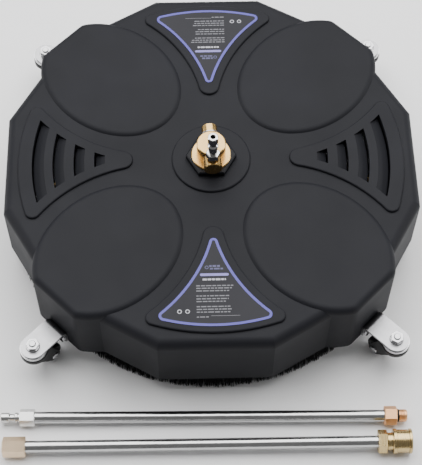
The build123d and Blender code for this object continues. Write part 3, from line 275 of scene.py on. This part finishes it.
# millimetres, with u outwards from the deck's axis and v across
# each side of a film is an arc about a point beside it, and is followed by round corners and an outer arc
SIDE_X, SIDE_Y, SIDE_RADIUS = 63.6, 178.8, 171.0
FILM_INSET, FILM_TIP, FILM_OUTER, FILM_CORNER = 9.6, 4.8, 218.0, 6.0
BORDER_WIDTH = 3.0
PRINT_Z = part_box("label_front")[1][2] + 0.04 * MM
INKS = [BORDER, WHITE_INK, LILAC_INK, GREY_INK, BLUE_INK]

# the small print: u of each line, and the v where it ends
PRINT_START = -20.5
PRINT_HEIGHT = 1.35
PRINT_LINES = (
    (168.4, 20.6),
    (171.5, 20.5),
    (174.8, 15.8),
    (181.0, 15.6),
    (184.6, 15.1),
    (187.9, 11.8),
    (194.2, 17.9),
    (197.5, 17.8),
    (200.9, 16.4),
    (206.8, -5.5),
)


def arc(centre, radius, start, end, count):
    """Points along an arc in the label's plane."""
    return [
        (
            centre[0] + radius * math.cos(start + (end - start) * i / count),
            centre[1] + radius * math.sin(start + (end - start) * i / count),
        )
        for i in range(count + 1)
    ]


def film_edge(inset):
    """Outline of the film, moved inwards by inset: millimetres outwards along u, and across it."""
    side = SIDE_RADIUS + FILM_INSET
    tip_x = SIDE_X + math.sqrt((side + FILM_TIP) ** 2 - SIDE_Y**2)
    reach = math.hypot(SIDE_X, SIDE_Y)
    near, far = FILM_OUTER - FILM_CORNER, side + FILM_CORNER
    along = (near**2 - far**2 + reach**2) / (2 * reach)
    across = math.sqrt(near**2 - along**2)
    ux, uy = SIDE_X / reach, SIDE_Y / reach
    corner = (ux * along + uy * across, uy * along - ux * across)
    tangent_tip = math.atan2(SIDE_Y, SIDE_X - tip_x)
    from_side = math.atan2(corner[1] - SIDE_Y, corner[0] - SIDE_X)
    outwards = math.atan2(corner[1], corner[0])
    points = arc((tip_x, 0), FILM_TIP - inset, math.pi, tangent_tip, 12)
    points += arc((SIDE_X, SIDE_Y), side + inset, tangent_tip - math.pi, from_side, 48)
    points += arc(corner, FILM_CORNER - inset, from_side + math.pi, outwards, 12)
    points += arc((0, 0), FILM_OUTER - inset, outwards, 0, 24)
    return points + [(x, -y) for x, y in reversed(points[1:-1])]


def bar(u, v, height, width, round_ends=False):
    """A printed bar: its centre at (u, v), height along u, width along v."""
    if not round_ends:
        near, far, left, right = u - height / 2, u + height / 2, v - width / 2, v + width / 2
        return [(near, left), (far, left), (far, right), (near, right)]
    radius = height / 2
    outer = arc((u, v + width / 2 - radius), radius, 0, math.pi, 10)
    return outer + arc((u, v - width / 2 + radius), radius, math.pi, 2 * math.pi, 10)


def dashes(u, start, end, height, gap=1.0):
    """A row of dashes of uneven length, as a line of small print looks from a distance."""
    row = []
    v = start
    while v < end - 1:
        length = min(random.uniform(2.2, 6.5), end - v)
        row.append(bar(u, v + length / 2, height, length))
        v += length + gap
    return row


def band(outer, inner):
    """Four-sided shapes that fill the gap between two closed outlines."""
    return [[outer[i - 1], outer[i], inner[i], inner[i - 1]] for i in range(len(outer))]


def ring_mark(u, v, radius):
    outer = arc((u, v), radius, 0, 2 * math.pi, 20)[:-1]
    inner = arc((u, v), radius * 0.62, 0, 2 * math.pi, 20)[:-1]
    return band(outer, inner)


def label_print(name, turn):
    """Border and neutral marks on one label; turn takes u from +X to the label's own direction."""
    shapes = [(BORDER, shape) for shape in band(film_edge(0.0), film_edge(BORDER_WIDTH))]
    for u, end in PRINT_LINES:
        shapes += [(GREY_INK, shape) for shape in dashes(u, PRINT_START, end, PRINT_HEIGHT)]
    shapes.append((GREY_INK, bar(205.5, 11.2, 0.5, 31.7)))
    shapes += [(WHITE_INK, shape) for shape in dashes(160.6, -13.2, 12.6, 2.3, gap=0.9)]
    shapes.append((LILAC_INK, bar(154.6, 0.0, 3.2, 32.0, round_ends=True)))
    shapes += [(BLUE_INK, shape) for shape in dashes(143.8, -5.5, 7.6, 2.4)]
    shapes += [(BLUE_INK, shape) for shape in dashes(147.2, -4.8, 9.8, 2.0)]
    shapes += [(BLUE_INK, shape) for shape in ring_mark(145.4, -8.4, 2.2)]
    shapes += [(WHITE_INK, shape) for v in (-39.3, -30.5) for shape in ring_mark(199.8, v, 2.6)]
    vertices, faces = [], []
    cos_t, sin_t = math.cos(turn), math.sin(turn)
    for _, shape in shapes:
        faces.append(list(range(len(vertices), len(vertices) + len(shape))))
        for u, v in shape:
            x = AXIS.x + (u * cos_t - v * sin_t) * MM
            y = AXIS.y + (u * sin_t + v * cos_t) * MM
            vertices.append((x, y, PRINT_Z))
    indices = [INKS.index(colour) for colour, _ in shapes]
    thing = piece(name, vertices, faces, INKS, "deck", face_materials=indices)
    for polygon in thing.data.polygons:
        if polygon.normal.z < 0:
            polygon.flip()


label_print("label_print_front", -math.pi / 2)
label_print("label_print_rear", math.pi / 2)


# ---- brush -----------------------------------------------------------------------------------------

TUFTS = 420
FILAMENTS = 9
FILAMENT_RADIUS = 0.5
FILAMENT_STEPS = 4
FILAMENT_SIDES = 3
TIP_TAPER = 0.35
# radius of each row of tufts, its offset as a share of the spacing, and how far its tips splay outwards
ROWS = ((229.4, 0.0, 0.0, 3.0), (231.6, 0.33, 1.5, 5.0), (233.4, 0.67, 3.0, 5.6))
TUFT_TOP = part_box("brush_holder")[0][2] / MM + 10
BRISTLE_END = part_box("brush_bristles")[0][2] / MM + 0.1
BRUSH_REACH = (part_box("brush_bristles")[1][0] - AXIS.x) / MM - 0.7


def filament(vertices, faces, root, tip, bend):
    """Add a thin bristle that curves and tapers from root to tip."""
    first = len(vertices)
    for i in range(FILAMENT_STEPS + 1):
        t = i / FILAMENT_STEPS
        centre = root.lerp(tip, t) + bend * (t * t - t)
        size = FILAMENT_RADIUS * (1.0 - TIP_TAPER * t)
        for k in range(FILAMENT_SIDES):
            angle = 2 * math.pi * k / FILAMENT_SIDES
            offset = Vector((size * math.cos(angle), size * math.sin(angle), 0))
            vertices.append((centre + offset) * MM + AXIS)
    for i in range(FILAMENT_STEPS):
        for k in range(FILAMENT_SIDES):
            a = first + FILAMENT_SIDES * i + k
            b = first + FILAMENT_SIDES * i + (k + 1) % FILAMENT_SIDES
            faces.append((a, b, b + FILAMENT_SIDES, a + FILAMENT_SIDES))
    end = first + FILAMENT_SIDES * FILAMENT_STEPS
    faces.append(tuple(range(end, end + FILAMENT_SIDES)))


def brush_tufts():
    """Rows of tufts that fan out below the holder, trimmed a little unevenly."""
    vertices, faces = [], []
    for row_radius, phase, least_splay, most_splay in ROWS:
        for tuft in range(TUFTS):
            angle = 2 * math.pi * (tuft + phase + random.uniform(-0.15, 0.15)) / TUFTS
            radial = Vector((math.cos(angle), math.sin(angle), 0))
            across = Vector((-radial.y, radial.x, 0))
            lean = random.gauss(0, 1.1)
            splay = random.uniform(least_splay, most_splay)
            trim = BRISTLE_END + random.random() ** 3 * 1.6
            for _ in range(FILAMENTS):
                root_offset = radial * random.uniform(-0.9, 0.9) + across * random.uniform(-1.5, 1.5)
                root = radial * row_radius + root_offset + Vector((0, 0, TUFT_TOP))
                spread = radial * (splay + random.gauss(0, 0.6)) + across * (lean + random.gauss(0, 0.9))
                tip = radial * row_radius + root_offset * 1.5 + spread
                reach = math.hypot(tip.x, tip.y)
                if reach > BRUSH_REACH:
                    tip *= BRUSH_REACH / reach
                tip.z = trim + abs(random.gauss(0, 0.45))
                bend = radial * random.uniform(0.0, 1.5) + across * random.uniform(-1, 1)
                filament(vertices, faces, root, tip, bend)
    return piece("brush_tufts", vertices, faces, [BRISTLE], "deck", smooth=True)


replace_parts(brush_tufts(), "brush_bristles")


# ---- thread on the rear tube's nipple ------------------------------------------------------------------

THREAD_PITCH = 1.5
THREAD_HEIGHT = 0.42
THREAD_ROOT = -0.05
STEPS_PER_TURN = 28
FADE_STEPS = 12


def thread_ridge(name, mount_name, body, material):
    """Helical ridge on the plain cylinder of a threaded mount, faded out at both ends."""
    mount = next(m for m in frame["record"]["mounts"] if m["name"] == mount_name)
    radius = mount["dims"]["r_mm"]
    length = mount["dims"]["length_mm"] - THREAD_PITCH
    turn = Vector(mount["axis"]).to_track_quat("Z", "Y").to_matrix()
    centre = Vector(mount["pos_m"])
    steps = int(STEPS_PER_TURN * length / THREAD_PITCH)
    points = []
    for i in range(steps + 1):
        along = length * i / steps - length / 2
        angle = 2 * math.pi * along / THREAD_PITCH
        crest = THREAD_HEIGHT * min(1, i / FADE_STEPS, (steps - i) / FADE_STEPS)
        for offset, lift in ((-0.55, THREAD_ROOT), (-0.12, crest), (0.12, crest), (0.55, THREAD_ROOT)):
            reach = radius + lift
            local = Vector((reach * math.cos(angle), reach * math.sin(angle), along + offset * THREAD_PITCH))
            points.append(centre + turn @ local * MM)
    quads = [(0, 1, 2, 3)]
    for i in range(steps):
        for k in range(4):
            a, b = 4 * i + k, 4 * i + (k + 1) % 4
            quads.append((a, a + 4, b + 4, b))
    last = 4 * steps
    quads.append((last + 3, last + 2, last + 1, last))
    return piece(name, points, quads, [material], body)


thread_ridge("nipple_thread", "rear_wand_thread", "rear_wand", COPPER_BRASS)


# ---- stage, light and camera --------------------------------------------------------------------------

FLOOR_SIZE = 12.0
FLOOR_Z = -0.0002
FLOOR_CORNERS = [(x * FLOOR_SIZE, y * FLOOR_SIZE) for x, y in ((-1, -1), (1, -1), (1, 1), (-1, 1))]
floor_shader = Shader("floor_pale", roughness=0.7, Specular_IOR_Level=0.2)
floor_shader.colour(floor_shader.noise(3, 3), [(0.3, (0.94, 0.94, 0.945)), (0.7, (0.96, 0.96, 0.965))])
floor_mesh = bpy.data.meshes.new("floor")
floor_mesh.from_pydata([(x, y, FLOOR_Z) for x, y in FLOOR_CORNERS], [], [(0, 1, 2, 3)])
floor_mesh.materials.append(floor_shader.material)
floor = bpy.data.objects.new("floor", floor_mesh)
bpy.context.scene.collection.objects.link(floor)

world = bpy.data.worlds.new("studio")
world.use_nodes = True
background = world.node_tree.nodes["Background"]
background.inputs["Color"].default_value = (1.0, 1.0, 1.0, 1)
background.inputs["Strength"].default_value = 0.22
bpy.context.scene.world = world


def softbox(name, position, target, width, height, power):
    """A rectangular area light aimed at target; positions are metres from the deck's axis."""
    data = bpy.data.lights.new(name, "AREA")
    data.shape = "RECTANGLE"
    data.size = width
    data.size_y = height
    data.energy = power
    light = bpy.data.objects.new(name, data)
    light.location = AXIS + Vector(position)
    direction = AXIS + Vector(target) - light.location
    light.rotation_euler = direction.to_track_quat("-Z", "Y").to_euler()
    bpy.context.scene.collection.objects.link(light)


softbox("overhead", (0, 0.95, 2.25), (0, 0, 0), 3.5, 2.9, 155)
softbox("left", (-2.4, 0.5, 0.9), (0, 0, 0.05), 1.2, 1.0, 24)
softbox("right", (2.4, 0.5, 0.9), (0, 0, 0.05), 1.2, 1.0, 24)

# the camera looks down at 60 degrees from the front; place and aim are metres from the deck's axis
CAMERA_PLACE = (-0.02638, -0.87085, 1.46882)
CAMERA_AIM = (-0.00148, -0.0674, 0.0615)
CAMERA_ROLL = math.radians(0.4842)
camera_data = bpy.data.cameras.new("camera")
camera_data.sensor_fit = "AUTO"
camera_data.sensor_width = 36.0
camera_data.lens = 106.4
camera = bpy.data.objects.new("camera", camera_data)
camera.location = AXIS + Vector(CAMERA_PLACE)
aim = AXIS + Vector(CAMERA_AIM) - camera.location
facing = aim.to_track_quat("-Z", "Y").to_matrix()
camera.rotation_euler = (facing @ Matrix.Rotation(CAMERA_ROLL, 3, "Z")).to_euler()
bpy.context.scene.collection.objects.link(camera)
bpy.context.scene.camera = camera
